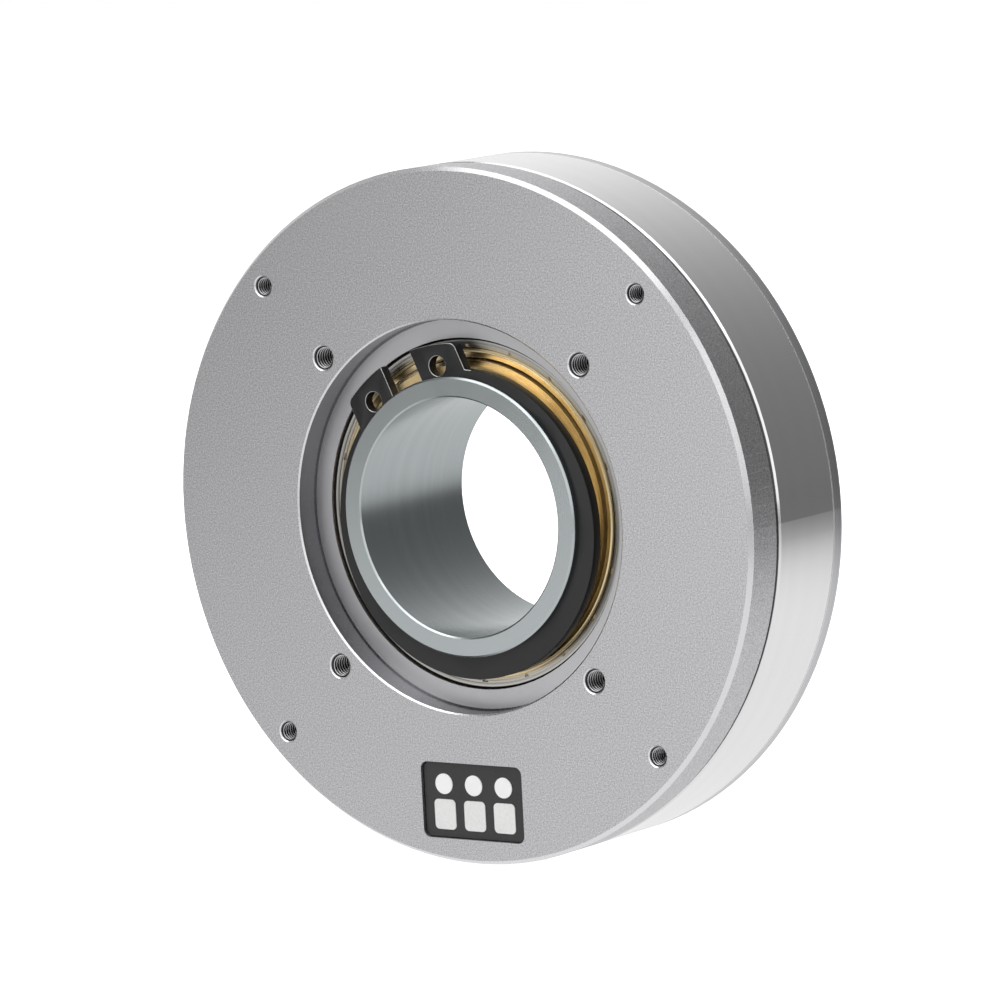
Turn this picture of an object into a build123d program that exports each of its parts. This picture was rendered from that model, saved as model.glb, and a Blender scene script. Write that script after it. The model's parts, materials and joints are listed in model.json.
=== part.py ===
# Hollow-shaft gimbal motor, standing on its rim.
# The motor's axis is Y. The base's mounting face lies at y = 0 and looks along -Y,
# +Z is up, and the window with the solder pads is at the bottom of that face.
# All sizes are in millimetres, and all angles in degrees.

import os
from math import cos, pi, radians, sin, sqrt

from build123d import *

os.makedirs("parts", exist_ok=True)

# Gaps between the pieces
running_gap = 0.45
seat_clearance = 0.01

# Base disc, with the recess round the shaft
base_thickness = 5.7
base_edge_chamfer = 0.5
base_edge_chamfer_length = 0.6
base_rear_chamfer = 0.2
recess_margin = 2.6
recess_depth = 3.5
recess_chamfer = 0.2

# Hub tube behind the disc
hub_wall = 2.5
hub_web_length = 2.6
hub_web_height = 1.4
core_seat_height = 2.5

# Threaded holes of the base, each with a countersunk mouth
base_hole_count = 4
base_hole_angle = 45.0
outer_hole_edge_distance = 3.5
outer_hole_diameter = 2.5
outer_hole_depth = 4.6
inner_hole_recess_distance = 2.9
inner_hole_diameter = 3.0
inner_hole_depth = 5.0
hole_mouth_chamfer = 0.16
mouth_angle = 90.0

# Window in the disc, and the pad board that lies in it
window_width = 15.4
window_height = 9.6
window_edge_distance = 3.05
window_corner = 1.0
window_depth = 0.5
window_ledge = 1.0
board_thickness = 1.0
board_clearance = 0.12
pad_pitch = 4.54
pad_width = 3.2
pad_height = 3.8
pad_corner = 0.6
pad_drop = 1.85
pad_thickness = 0.1
dot_diameter = 2.6
dot_rise = 2.0

# Thin-section ball bearings, one at each end of the hub
bearing_bore = 35.0
bearing_section = 4.5
bearing_width = 5.0
bearing_setback = 0.5
bearing_chamfer = 0.25
race_floor = 1.0
race_depth = 0.7
race_mouth = 2.8
race_bottom = 1.0
ball_play = 0.06
ball_count = 16
ball_flat_share = 0.865
cage_land_gap = 0.22
cage_width = 3.2
cage_play = 0.1

# Bearing shields, with crimp notches in their rolled rim
shield_seat_wall = 0.7
shield_seat_depth = 0.7
shield_setback = 0.1
shield_metal = 0.2
shield_rim_width = 0.33
shield_bead_width = 0.2
shield_bead_height = 0.15
shield_gap = 0.4
shield_clearance = 0.02
notch_count = 20
notch_length = 0.9
notch_width = 0.2
notch_depth = 0.45

# Hollow shaft with its rear flange
shaft_wall = 2.5
shaft_inset = 0.1
shaft_bore_chamfer = 0.2
shaft_edge_chamfer = 0.25
shoulder_height = 1.4
shoulder_length = 0.4
flange_width = 9.8
flange_thickness = 1.6
shaft_spigot_height = 1.0
shaft_spigot_length = 1.7

# Retaining ring, in its groove at the front end of the shaft
circlip_land = 0.9
circlip_thickness = 1.5
circlip_play = 0.1
circlip_groove_depth = 1.0
circlip_height = 1.85
circlip_offset = 1.05
circlip_gap = 5.0
circlip_gap_angle = 115.0
lug_height = 4.1
lug_span = 18.3
lug_corner = 1.0
lug_hole_diameter = 2.5
lug_hole_height = 0.55
lug_hole_spacing = 11.14

# Spacers on the shaft
brass_spacer_height = 1.2
sleeve_height = 1.6

# Rotor ring and magnets
ring_wall = 1.85
ring_front_chamfer = 0.4
ring_rear_chamfer = 0.15
magnet_count = 28
magnet_thickness = 1.7
magnet_length = 9.2
magnet_spacing = 0.9
glue_gap = 0.02

# Stator core and windings
slot_count = 24
core_length = 7.0
core_yoke = 4.0
tooth_length = 9.57
tooth_width = 3.6
shoe_thickness = 1.4
slot_opening = 1.8
air_gap = 0.45
slot_liner = 0.15
wire_build = 1.6
coil_corner = 1.2
coil_spacing = 0.5
coil_shoe_gap = 0.8

# Phase leads, from the pad board to the three coils behind it
lead_width = 1.2
lead_thickness = 0.4
lead_bend = 0.9
lead_coil_inset = 1.28
lead_side_offset = 2.4
lead_end_gap = 0.25

# Rear cover and its screws
cover_web = 1.6
cover_thickness = 2.0
cover_rim_length = 1.9
cover_edge_chamfer = 0.2
cover_clearance = 0.05
spigot_wall = 1.6
spigot_magnet_gap = 0.2
screw_count = 4
screw_diameter = 2.0
screw_head_diameter = 3.8
screw_clearance = 0.1
screw_sink = 0.05
screw_socket = 1.3
screw_socket_depth = 0.6

# Threaded output holes of the rear cover
output_hole_count = 4
output_hole_angle = 45.0
output_hole_flange_distance = 5.7
output_hole_diameter = 3.0

# Radii of the bearing, from the shaft outwards
shaft_radius = bearing_bore / 2
inner_race_radius = shaft_radius + race_floor
inner_land_radius = inner_race_radius + race_depth
ball_diameter = bearing_section - 2 * (race_floor + ball_play)
ball_pitch_radius = shaft_radius + bearing_section / 2
outer_race_radius = shaft_radius + bearing_section - race_floor
outer_land_radius = outer_race_radius - race_depth
bearing_radius = shaft_radius + bearing_section

# Radii of the motor, from the bearing outwards, which add up to 43.5
recess_radius = bearing_radius + recess_margin
hub_radius = bearing_radius + hub_wall
core_yoke_radius = hub_radius + seat_clearance + core_yoke
shoe_inner_radius = core_yoke_radius + tooth_length
core_radius = shoe_inner_radius + shoe_thickness
magnet_inner_radius = core_radius + air_gap
magnet_outer_radius = magnet_inner_radius + magnet_thickness
ring_bore_radius = magnet_outer_radius + glue_gap
motor_radius = ring_bore_radius + ring_wall

# Radii of the shaft's other steps
shaft_bore_radius = shaft_radius - shaft_wall
groove_radius = shaft_radius - circlip_groove_depth
shaft_spigot_radius = shaft_radius + shaft_spigot_height
flange_radius = shaft_radius + flange_width

# Centres of the holes, the window and the screws, measured from the axis
outer_hole_radius = motor_radius - outer_hole_edge_distance
inner_hole_radius = recess_radius + inner_hole_recess_distance
window_centre = motor_radius - window_edge_distance - window_height / 2
screw_centre_radius = (shaft_spigot_radius + flange_radius) / 2
output_hole_radius = flange_radius + output_hole_flange_distance

# Places along the axis, from the front to the rear
circlip_front = shaft_inset + circlip_land
circlip_rear = circlip_front + circlip_thickness
board_front = window_depth
board_rear = board_front + board_thickness
front_bearing_front = recess_depth + bearing_setback
front_bearing_rear = front_bearing_front + bearing_width
rear_bearing_front = front_bearing_rear + hub_web_length
rear_bearing_rear = rear_bearing_front + bearing_width
core_front = base_thickness + core_seat_height
core_rear = core_front + core_length
core_middle = (core_front + core_rear) / 2
ring_front = base_thickness + running_gap
magnet_front = core_middle - magnet_length / 2
magnet_rear = core_middle + magnet_length / 2
flange_front = rear_bearing_rear + shoulder_length
flange_rear = flange_front + flange_thickness
rear_face = flange_rear + cover_web
shaft_rear = rear_face + shaft_spigot_length
cover_plate_front = rear_face - cover_thickness
cover_rim_front = rear_face - cover_rim_length

# Coil size: the wire lies on a liner round each tooth
coil_width = tooth_width + 2 * (slot_liner + wire_build)
coil_height = core_length + 2 * (slot_liner + wire_build)
coil_room_radius = slot_count * (coil_width + coil_spacing) / (2 * pi)
coil_inner_radius = max(core_yoke_radius + slot_liner, coil_room_radius)
coil_outer_radius = shoe_inner_radius - coil_shoe_gap
coil_front = core_middle - coil_height / 2


def facing_front(y):
    """The plane across the motor at y, seen from the front: X is right and Z is up."""
    return Plane.XZ.offset(-y)


def facing_rear(y):
    """The plane across the motor at y, seen from the rear."""
    return Plane(origin=(0, y, 0), x_dir=(1, 0, 0), z_dir=(0, 1, 0))


def half_section(*corners):
    """A closed outline beside the axis, whose corners are (radius, place along the axis)."""
    with BuildSketch(Plane.XY) as outline:
        with BuildLine():
            Polyline(*corners, close=True)
        make_face()
    return outline.sketch


# Base disc and hub tube, turned from one piece
with BuildPart(facing_front(0)) as base_housing:
    web_radius = bearing_radius - hub_web_height
    seat_radius = hub_radius + core_yoke
    revolve(
        half_section(
            (bearing_radius, recess_depth),
            (recess_radius, recess_depth),
            (recess_radius, recess_chamfer),
            (recess_radius + recess_chamfer, 0),
            (motor_radius - base_edge_chamfer, 0),
            (motor_radius, base_edge_chamfer_length),
            (motor_radius, base_thickness - base_rear_chamfer),
            (motor_radius - base_rear_chamfer, base_thickness),
            (seat_radius, base_thickness),
            (seat_radius, core_front),
            (hub_radius, core_front),
            (hub_radius, rear_bearing_rear),
            (bearing_radius, rear_bearing_rear),
            (bearing_radius, rear_bearing_front),
            (web_radius, rear_bearing_front),
            (web_radius, front_bearing_rear),
            (bearing_radius, front_bearing_rear),
        ),
        axis=Axis.Y,
    )
    for centre_radius, diameter, depth in (
        (outer_hole_radius, outer_hole_diameter, outer_hole_depth),
        (inner_hole_radius, inner_hole_diameter, inner_hole_depth),
    ):
        with PolarLocations(centre_radius, base_hole_count, base_hole_angle):
            CounterSinkHole(
                radius=diameter / 2,
                counter_sink_radius=diameter / 2 + hole_mouth_chamfer,
                depth=depth,
                counter_sink_angle=mouth_angle,
            )
    # The board's seat is open to the front, and a smaller opening behind it lets the leads through
    with BuildSketch(facing_front(0)):
        with Locations((0, -window_centre)):
            RectangleRounded(window_width, window_height, window_corner)
    extrude(amount=-board_rear, mode=Mode.SUBTRACT)
    with BuildSketch(facing_front(board_rear)):
        with Locations((0, -window_centre)):
            RectangleRounded(
                window_width - 2 * window_ledge, window_height - 2 * window_ledge, window_corner
            )
    extrude(amount=board_rear - base_thickness, mode=Mode.SUBTRACT)
base_housing.part.label = "base_housing"
export_step(base_housing.part, "parts/base_housing.step")

# Pad board on its ledge in the window
with BuildPart() as pad_board:
    with BuildSketch(facing_front(board_front)):
        with Locations((0, -window_centre)):
            RectangleRounded(
                window_width - 2 * board_clearance,
                window_height - 2 * board_clearance,
                window_corner - board_clearance,
            )
    extrude(amount=-board_thickness)
pad_board.part.label = "pad_board"
export_step(pad_board.part, "parts/pad_board.step")

# Three solder pads on the board, one for each phase
with BuildPart() as solder_pads:
    with BuildSketch(facing_front(board_front)):
        with Locations((0, -window_centre - pad_drop)):
            with GridLocations(pad_pitch, 0, 3, 1):
                RectangleRounded(pad_width, pad_height, pad_corner)
    extrude(amount=pad_thickness)
solder_pads.part.label = "solder_pads"
export_step(solder_pads.part, "parts/solder_pads.step")

# Three plain round dots above the pads
with BuildPart() as pad_dots:
    with BuildSketch(facing_front(board_front)):
        with Locations((0, -window_centre + dot_rise)):
            with GridLocations(pad_pitch, 0, 3, 1):
                Circle(dot_diameter / 2)
    extrude(amount=pad_thickness)
pad_dots.part.label = "pad_dots"
export_step(pad_dots.part, "parts/pad_dots.step")


# Bearings: front is the place of a ring's front face, and the shield is on the side named out

def outer_ring(front, out):
    """Outer ring, with a seat for the shield on the side out (-1 is the front, 1 the rear)."""
    middle = front + bearing_width / 2
    shield_side = middle + out * bearing_width / 2
    open_side = middle - out * bearing_width / 2
    seat = bearing_radius - shield_seat_wall
    with BuildPart() as ring:
        revolve(
            half_section(
                (seat, shield_side),
                (bearing_radius - bearing_chamfer, shield_side),
                (bearing_radius, shield_side - out * bearing_chamfer),
                (bearing_radius, open_side + out * bearing_chamfer),
                (bearing_radius - bearing_chamfer, open_side),
                (outer_land_radius, open_side),
                (outer_land_radius, middle - out * race_mouth / 2),
                (outer_race_radius, middle - out * race_bottom / 2),
                (outer_race_radius, middle + out * race_bottom / 2),
                (outer_land_radius, middle + out * race_mouth / 2),
                (outer_land_radius, shield_side - out * shield_seat_depth),
                (seat, shield_side - out * shield_seat_depth),
            ),
            axis=Axis.Y,
        )
    return ring.part


def inner_ring(front):
    """Inner ring, with a shallow race for the balls."""
    middle = front + bearing_width / 2
    bore = shaft_radius + seat_clearance
    with BuildPart() as ring:
        revolve(
            half_section(
                (bore, front),
                (inner_land_radius, front),
                (inner_land_radius, middle - race_mouth / 2),
                (inner_race_radius, middle - race_bottom / 2),
                (inner_race_radius, middle + race_bottom / 2),
                (inner_land_radius, middle + race_mouth / 2),
                (inner_land_radius, front + bearing_width),
                (bore, front + bearing_width),
            ),
            axis=Axis.Y,
        )
    return ring.part


def shield(front, out):
    """Pressed shield with a rolled rim, a bead near its inner edge and notches in the rim."""
    middle = front + bearing_width / 2
    face = middle + out * (bearing_width / 2 - shield_setback)
    back = middle + out * (bearing_width / 2 - shield_seat_depth)
    plate = face - out * shield_metal
    rim = bearing_radius - shield_seat_wall - shield_clearance
    lip = inner_land_radius + shield_gap
    bead = (lip + rim - shield_rim_width) / 2
    with BuildPart() as cover:
        revolve(
            half_section(
                (rim, back),
                (rim, face),
                (rim - shield_rim_width, face),
                (rim - shield_rim_width, plate),
                (bead + shield_bead_width / 2, plate),
                (bead - shield_bead_width / 2, plate + out * shield_bead_height),
                (lip, plate),
                (lip, back),
            ),
            axis=Axis.Y,
        )
        with BuildSketch(facing_front(face)):
            with PolarLocations(rim - shield_rim_width, notch_count):
                Rectangle(2 * notch_width, notch_length)
        extrude(amount=out * notch_depth, mode=Mode.SUBTRACT)
    return cover.part


def cage(front):
    """Ring cage with a square pocket for each ball."""
    middle = front + bearing_width / 2
    with BuildPart() as ring:
        with BuildSketch(facing_front(middle - cage_width / 2)):
            Circle(outer_land_radius - cage_land_gap)
            Circle(inner_land_radius + cage_land_gap, mode=Mode.SUBTRACT)
        extrude(amount=-cage_width)
        pocket = ball_diameter + cage_play
        with Locations(facing_front(middle)):
            with PolarLocations(ball_pitch_radius, ball_count):
                Box(ball_diameter, pocket, pocket, mode=Mode.SUBTRACT)
    return ring.part


# One ball, cut with flats inside the true sphere, because the shield hides it
ball_flat = ball_diameter * ball_flat_share
with BuildPart() as ball:
    Box(ball_flat, ball_flat, ball_flat)
    chamfer(ball.edges(), length=ball_flat - ball_diameter / sqrt(3))


def balls(front):
    """The balls of one bearing, on their pitch circle."""
    with BuildPart() as row:
        with Locations(facing_front(front + bearing_width / 2)):
            with PolarLocations(ball_pitch_radius, ball_count):
                add(ball.part)
    return row.part


for place, front, out in (("front", front_bearing_front, -1), ("rear", rear_bearing_front, 1)):
    for name, piece in (
        ("outer_ring", outer_ring(front, out)),
        ("inner_ring", inner_ring(front)),
        ("shield", shield(front, out)),
        ("cage", cage(front)),
        ("balls", balls(front)),
    ):
        piece.label = f"{place}_{name}"
        export_step(piece, f"parts/{place}_{name}.step")

# Hollow shaft, with the groove of the retaining ring, the shoulder and the rear flange
with BuildPart(facing_rear(flange_rear)) as hollow_shaft:
    groove_rear = circlip_rear + circlip_play
    shoulder_radius = shaft_radius + shoulder_height
    revolve(
        half_section(
            (shaft_bore_radius, shaft_inset + shaft_bore_chamfer),
            (shaft_bore_radius + shaft_bore_chamfer, shaft_inset),
            (shaft_radius - shaft_edge_chamfer, shaft_inset),
            (shaft_radius, shaft_inset + shaft_edge_chamfer),
            (shaft_radius, circlip_front),
            (groove_radius, circlip_front),
            (groove_radius, groove_rear),
            (shaft_radius, groove_rear),
            (shaft_radius, rear_bearing_rear),
            (shoulder_radius, rear_bearing_rear),
            (shoulder_radius, flange_front),
            (flange_radius, flange_front),
            (flange_radius, flange_rear),
            (shaft_spigot_radius, flange_rear),
            (shaft_spigot_radius, shaft_rear - shaft_edge_chamfer),
            (shaft_spigot_radius - shaft_edge_chamfer, shaft_rear),
            (shaft_bore_radius + shaft_bore_chamfer, shaft_rear),
            (shaft_bore_radius, shaft_rear - shaft_bore_chamfer),
        ),
        axis=Axis.Y,
    )
    with PolarLocations(screw_centre_radius, screw_count):
        Hole(radius=screw_diameter / 2 + seat_clearance)
hollow_shaft.part.label = "hollow_shaft"
export_step(hollow_shaft.part, "parts/hollow_shaft.step")

# Retaining ring: an eccentric band with two lugs, widest opposite its gap
with BuildPart() as circlip:
    lug_reach = shaft_radius + lug_height
    turn_angle = radians(circlip_gap_angle - 90)
    circlip_plane = Plane(
        origin=(0, circlip_front, 0),
        x_dir=(cos(turn_angle), 0, sin(turn_angle)),
        z_dir=(0, -1, 0),
    )
    with BuildSketch(circlip_plane) as circlip_outline:
        Circle(lug_reach)
        Rectangle(lug_span, lug_reach, align=(Align.CENTER, Align.MIN), mode=Mode.INTERSECT)
        fillet(circlip_outline.vertices().group_by(Axis.Y)[-1], lug_corner)
        with Locations((0, -circlip_offset)):
            Circle(shaft_radius + circlip_height)
        Circle(groove_radius + seat_clearance, mode=Mode.SUBTRACT)
        Rectangle(
            circlip_gap, 2 * lug_reach, align=(Align.CENTER, Align.MIN), mode=Mode.SUBTRACT
        )
        with Locations((0, shaft_radius + lug_hole_height)):
            with GridLocations(lug_hole_spacing, 0, 2, 1):
                Circle(lug_hole_diameter / 2, mode=Mode.SUBTRACT)
    extrude(amount=-circlip_thickness)
circlip.part.label = "circlip"
export_step(circlip.part, "parts/circlip.step")


def shaft_sleeve(height, front, rear):
    """A plain ring on the shaft, of a wall height, from front to rear."""
    with BuildPart() as sleeve:
        with BuildSketch(facing_front(front)):
            Circle(shaft_radius + height)
            Circle(shaft_radius + seat_clearance, mode=Mode.SUBTRACT)
        extrude(amount=front - rear)
    return sleeve.part


# Brass spacer between the retaining ring and the front bearing
brass_spacer = shaft_sleeve(brass_spacer_height, circlip_rear, front_bearing_front)
brass_spacer.label = "brass_spacer"
export_step(brass_spacer, "parts/brass_spacer.step")

# Spacer sleeve between the two inner rings
spacer_sleeve = shaft_sleeve(sleeve_height, front_bearing_rear, rear_bearing_front)
spacer_sleeve.label = "spacer_sleeve"
export_step(spacer_sleeve, "parts/spacer_sleeve.step")

# Stator core: a laminated yoke with teeth, whose shoes face the magnets
with BuildPart() as stator_core:
    with BuildSketch(facing_front(core_front)):
        Circle(core_radius)
        Circle(shoe_inner_radius, mode=Mode.SUBTRACT)
        with PolarLocations((core_radius + shoe_inner_radius) / 2, slot_count, 180 / slot_count):
            Rectangle(2 * shoe_thickness, slot_opening, mode=Mode.SUBTRACT)
        Circle(core_yoke_radius)
        with PolarLocations((core_yoke_radius + shoe_inner_radius) / 2, slot_count):
            Rectangle(shoe_inner_radius - core_yoke_radius + shoe_thickness, tooth_width)
        Circle(hub_radius + seat_clearance, mode=Mode.SUBTRACT)
    extrude(amount=-core_length)
stator_core.part.label = "stator_core"
export_step(stator_core.part, "parts/stator_core.step")


def tooth_plane(tooth, radius):
    """The plane across a tooth at a radius: its x runs along the motor's axis."""
    angle = radians(tooth * 360 / slot_count)
    outward = (cos(angle), 0, sin(angle))
    centre = (radius * cos(angle), core_middle, radius * sin(angle))
    return Plane(origin=centre, x_dir=(0, 1, 0), z_dir=outward)


# Windings: one coil round each tooth
with BuildPart() as coils:
    for tooth in range(slot_count):
        with BuildSketch(tooth_plane(tooth, coil_inner_radius)) as turn:
            Rectangle(coil_height, coil_width)
            chamfer(turn.vertices(), coil_corner)
            Rectangle(
                core_length + 2 * slot_liner, tooth_width + 2 * slot_liner, mode=Mode.SUBTRACT
            )
        extrude(amount=coil_outer_radius - coil_inner_radius)
coils.part.label = "coils"
export_step(coils.part, "parts/coils.step")

# Phase leads: flat copper strips, each straight back from the board, then across to its coil
with BuildPart() as phase_leads:
    lead_coil_radius = coil_outer_radius - lead_coil_inset
    for side in (-1, 0, 1):
        coil_angle = radians(side * 360 / slot_count)
        end_x = lead_coil_radius * sin(coil_angle) - side * lead_side_offset * cos(coil_angle)
        end_z = -lead_coil_radius * cos(coil_angle) - abs(side) * lead_side_offset * sin(
            abs(coil_angle)
        )
        lead_start = (side * pad_pitch, board_rear, -window_centre)
        bend = (side * pad_pitch, base_thickness - lead_bend, -window_centre)
        with BuildLine() as lead_path:
            Polyline(lead_start, bend, (end_x, coil_front - lead_end_gap, end_z))
        with BuildSketch(Plane(origin=lead_start, x_dir=(1, 0, 0), z_dir=(0, 1, 0))):
            Rectangle(lead_thickness, lead_width)
        sweep(path=lead_path.line, transition=Transition.RIGHT)
phase_leads.part.label = "phase_leads"
export_step(phase_leads.part, "parts/phase_leads.step")

# Rotor ring, the steel yoke that carries the magnets
with BuildPart() as rotor_ring:
    revolve(
        half_section(
            (ring_bore_radius, ring_front),
            (motor_radius - ring_front_chamfer, ring_front),
            (motor_radius, ring_front + ring_front_chamfer),
            (motor_radius, cover_rim_front - ring_rear_chamfer),
            (motor_radius - ring_rear_chamfer, cover_rim_front),
            (ring_bore_radius, cover_rim_front),
        ),
        axis=Axis.Y,
    )
rotor_ring.part.label = "rotor_ring"
export_step(rotor_ring.part, "parts/rotor_ring.step")

# Magnets: curved bars in a row round the bore of the rotor ring
with BuildPart() as magnets:
    with BuildSketch(facing_front(magnet_front)):
        Circle(magnet_outer_radius)
        Circle(magnet_inner_radius, mode=Mode.SUBTRACT)
        with PolarLocations((magnet_outer_radius + magnet_inner_radius) / 2, magnet_count):
            Rectangle(2 * magnet_thickness, magnet_spacing, mode=Mode.SUBTRACT)
    extrude(amount=-magnet_length)
magnets.part.label = "magnets"
export_step(magnets.part, "parts/magnets.step")

# Rear cover, on the shaft's flange and in the bore of the rotor ring
with BuildPart(facing_rear(rear_face)) as rear_cover:
    centre_bore_radius = shaft_spigot_radius + cover_clearance
    flange_room = flange_radius + cover_clearance
    spigot_outer = ring_bore_radius - glue_gap
    spigot_front = magnet_rear + spigot_magnet_gap
    revolve(
        half_section(
            (centre_bore_radius, flange_rear),
            (flange_room, flange_rear),
            (flange_room, cover_plate_front),
            (spigot_outer - spigot_wall, cover_plate_front),
            (spigot_outer - spigot_wall, spigot_front),
            (spigot_outer, spigot_front),
            (spigot_outer, cover_rim_front),
            (motor_radius, cover_rim_front),
            (motor_radius, rear_face - cover_edge_chamfer),
            (motor_radius - cover_edge_chamfer, rear_face),
            (centre_bore_radius, rear_face),
        ),
        axis=Axis.Y,
    )
    with PolarLocations(screw_centre_radius, screw_count):
        CounterSinkHole(
            radius=screw_diameter / 2 + screw_clearance,
            counter_sink_radius=screw_head_diameter / 2 + screw_clearance,
            counter_sink_angle=mouth_angle,
        )
    with PolarLocations(output_hole_radius, output_hole_count, output_hole_angle):
        CounterSinkHole(
            radius=output_hole_diameter / 2,
            counter_sink_radius=output_hole_diameter / 2 + hole_mouth_chamfer,
            counter_sink_angle=mouth_angle,
        )
rear_cover.part.label = "rear_cover"
export_step(rear_cover.part, "parts/rear_cover.step")

# One countersunk screw, upright on its head's centre
with BuildPart() as screw:
    head_radius = screw_head_diameter / 2
    shank_radius = screw_diameter / 2
    screw_length = rear_face - screw_sink - flange_front
    with BuildSketch(Plane.XZ):
        with BuildLine():
            Polyline(
                (0, 0),
                (head_radius, 0),
                (shank_radius, shank_radius - head_radius),
                (shank_radius, -screw_length),
                (0, -screw_length),
                close=True,
            )
        make_face()
    revolve(axis=Axis.Z)
    with BuildSketch(Plane.XY):
        RegularPolygon(screw_socket / 2, 6, major_radius=False)
    extrude(amount=-screw_socket_depth, mode=Mode.SUBTRACT)

# The cover's screws, in their circle
with BuildPart() as cover_screws:
    with Locations(facing_rear(rear_face - screw_sink)):
        with PolarLocations(screw_centre_radius, screw_count):
            add(screw.part)
cover_screws.part.label = "cover_screws"
export_step(cover_screws.part, "parts/cover_screws.step")
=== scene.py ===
# %% [markdown]
# # A hollow-shaft gimbal motor, dressed for its portrait
#
# The motor is already built as a CAD model: a base disc that is bolted down, a hollow shaft on two thin
# bearings, and a steel ring that turns behind the disc. This notebook adds what a CAD model lacks. It gives
# each surface its finish, adds real threads to the holes, rounds the small edges that catch the light, and
# sets up the camera and the lamps. All lengths below are in millimetres until they are handed to Blender.

# %% Load the motor
import json
import math

import bmesh
import bpy
from mathutils import Euler, Matrix, Vector

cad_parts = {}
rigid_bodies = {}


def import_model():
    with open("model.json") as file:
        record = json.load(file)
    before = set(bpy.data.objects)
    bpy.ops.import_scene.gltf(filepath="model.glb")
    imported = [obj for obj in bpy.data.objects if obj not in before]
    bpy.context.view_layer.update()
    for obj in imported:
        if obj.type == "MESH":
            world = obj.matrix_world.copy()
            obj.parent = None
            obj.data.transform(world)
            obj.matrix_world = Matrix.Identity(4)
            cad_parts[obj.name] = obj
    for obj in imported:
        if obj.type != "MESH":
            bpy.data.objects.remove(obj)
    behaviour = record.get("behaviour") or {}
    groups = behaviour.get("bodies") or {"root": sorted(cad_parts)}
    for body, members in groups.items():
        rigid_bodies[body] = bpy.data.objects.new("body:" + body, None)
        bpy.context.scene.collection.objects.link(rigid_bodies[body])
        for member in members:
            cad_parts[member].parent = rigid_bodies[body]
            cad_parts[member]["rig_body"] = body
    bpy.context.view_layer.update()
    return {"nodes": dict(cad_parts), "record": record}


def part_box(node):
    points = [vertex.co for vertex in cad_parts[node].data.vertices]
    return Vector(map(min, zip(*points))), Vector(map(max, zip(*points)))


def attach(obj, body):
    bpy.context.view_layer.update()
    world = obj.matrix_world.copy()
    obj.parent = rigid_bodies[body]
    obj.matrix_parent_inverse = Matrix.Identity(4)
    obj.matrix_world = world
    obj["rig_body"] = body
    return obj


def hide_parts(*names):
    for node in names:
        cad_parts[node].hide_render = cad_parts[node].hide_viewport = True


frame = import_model()
cad_nodes = frame["nodes"]
record = frame["record"]
print("CAD nodes:", len(cad_nodes))

# %% [markdown]
# ## Sizes from the frame
#
# The frame is in metres. The places that the new pieces need are read from its boxes and from the bolt
# patterns in its record, so that they follow the CAD model. The few sizes that neither of them gives, such
# as a thread's pitch or the width of a chamfer, are written here by name.

# %% Read the sizes of the motor
MM = 0.001


def low(node):
    """The lowest corner of a CAD node, in millimetres."""
    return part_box(node)[0] / MM


def high(node):
    """The highest corner of a CAD node, in millimetres."""
    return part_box(node)[1] / MM


motor_radius = high("base_housing").x
bearing_radius = high("front_outer_ring").x
inner_ring_radius = high("front_inner_ring").x
shaft_front = low("hollow_shaft").y
ring_front = low("rotor_ring").y
ring_rear = high("rotor_ring").y
rear_face = high("rear_cover").y
floor_level = low("base_housing").z
print(f"radius {motor_radius:.2f}, length {rear_face:.2f}, floor at {floor_level:.2f}")


# %% Read the tapped holes
def tapped_holes(mount, pitch):
    """The circle, radius and thread pitch of four holes on the diagonals, from the record's bolt pattern."""
    dims = next(entry["dims"] for entry in record["mounts"] if entry["name"] == mount)
    return {"circle": dims["pcd_mm"] / 2, "radius": dims["hole_r_mm"], "pitch": pitch}


outer_holes = tapped_holes("base_outer_bolts", pitch=0.45)
inner_holes = tapped_holes("base_inner_bolts", pitch=0.5)
output_holes = tapped_holes("output_bolts", pitch=0.5)
for holes in (outer_holes, inner_holes, output_holes):
    print("tapped holes:", holes)

# %% Name the sizes of the disc's recess and chamfers
recess_radius = bearing_radius + 2.6
recess_depth = 3.5
recess_chamfer = 0.2
rim_chamfer_width = 0.5
rim_chamfer_length = 0.6
hole_chamfer = 0.16
print(f"recess: radius {recess_radius:.2f}, depth {recess_depth:.2f}")

# %% [markdown]
# ## Shared effects
#
# Several finishes need the same effects: the fine speckle of bead blasting, the thin rings that a lathe
# tool leaves, soft clouds where hands have touched the metal, and a mask that picks out a chamfer by its
# radius. Each is a node group with named inputs, so that a material can ask for its own size and use the
# result for colour, roughness or bump.


# %% Helpers that build a node group
def new_group(name, inputs, outputs):
    """An empty shader group with float sockets. Inputs are (name, value) pairs."""
    group = bpy.data.node_groups.new(name, "ShaderNodeTree")
    for label, value in inputs:
        socket = group.interface.new_socket(label, in_out="INPUT", socket_type="NodeSocketFloat")
        socket.default_value = value
    for label in outputs:
        group.interface.new_socket(label, in_out="OUTPUT", socket_type="NodeSocketFloat")
    return group, group.nodes.new("NodeGroupInput"), group.nodes.new("NodeGroupOutput")


def maths(tree, operation, *values):
    """A Math node. Each value is a number or an output socket."""
    node = tree.nodes.new("ShaderNodeMath")
    node.operation = operation
    for place, value in enumerate(values):
        if isinstance(value, bpy.types.NodeSocket):
            tree.links.new(value, node.inputs[place])
        else:
            node.inputs[place].default_value = value
    return node.outputs[0]


def object_point(tree):
    """The surface point in the motor's own frame, in metres."""
    return tree.nodes.new("ShaderNodeTexCoord").outputs["Object"]


def split(tree, vector):
    """The X, Y and Z of a vector."""
    parts = tree.nodes.new("ShaderNodeSeparateXYZ")
    tree.links.new(vector, parts.inputs[0])
    return parts.outputs


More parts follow.
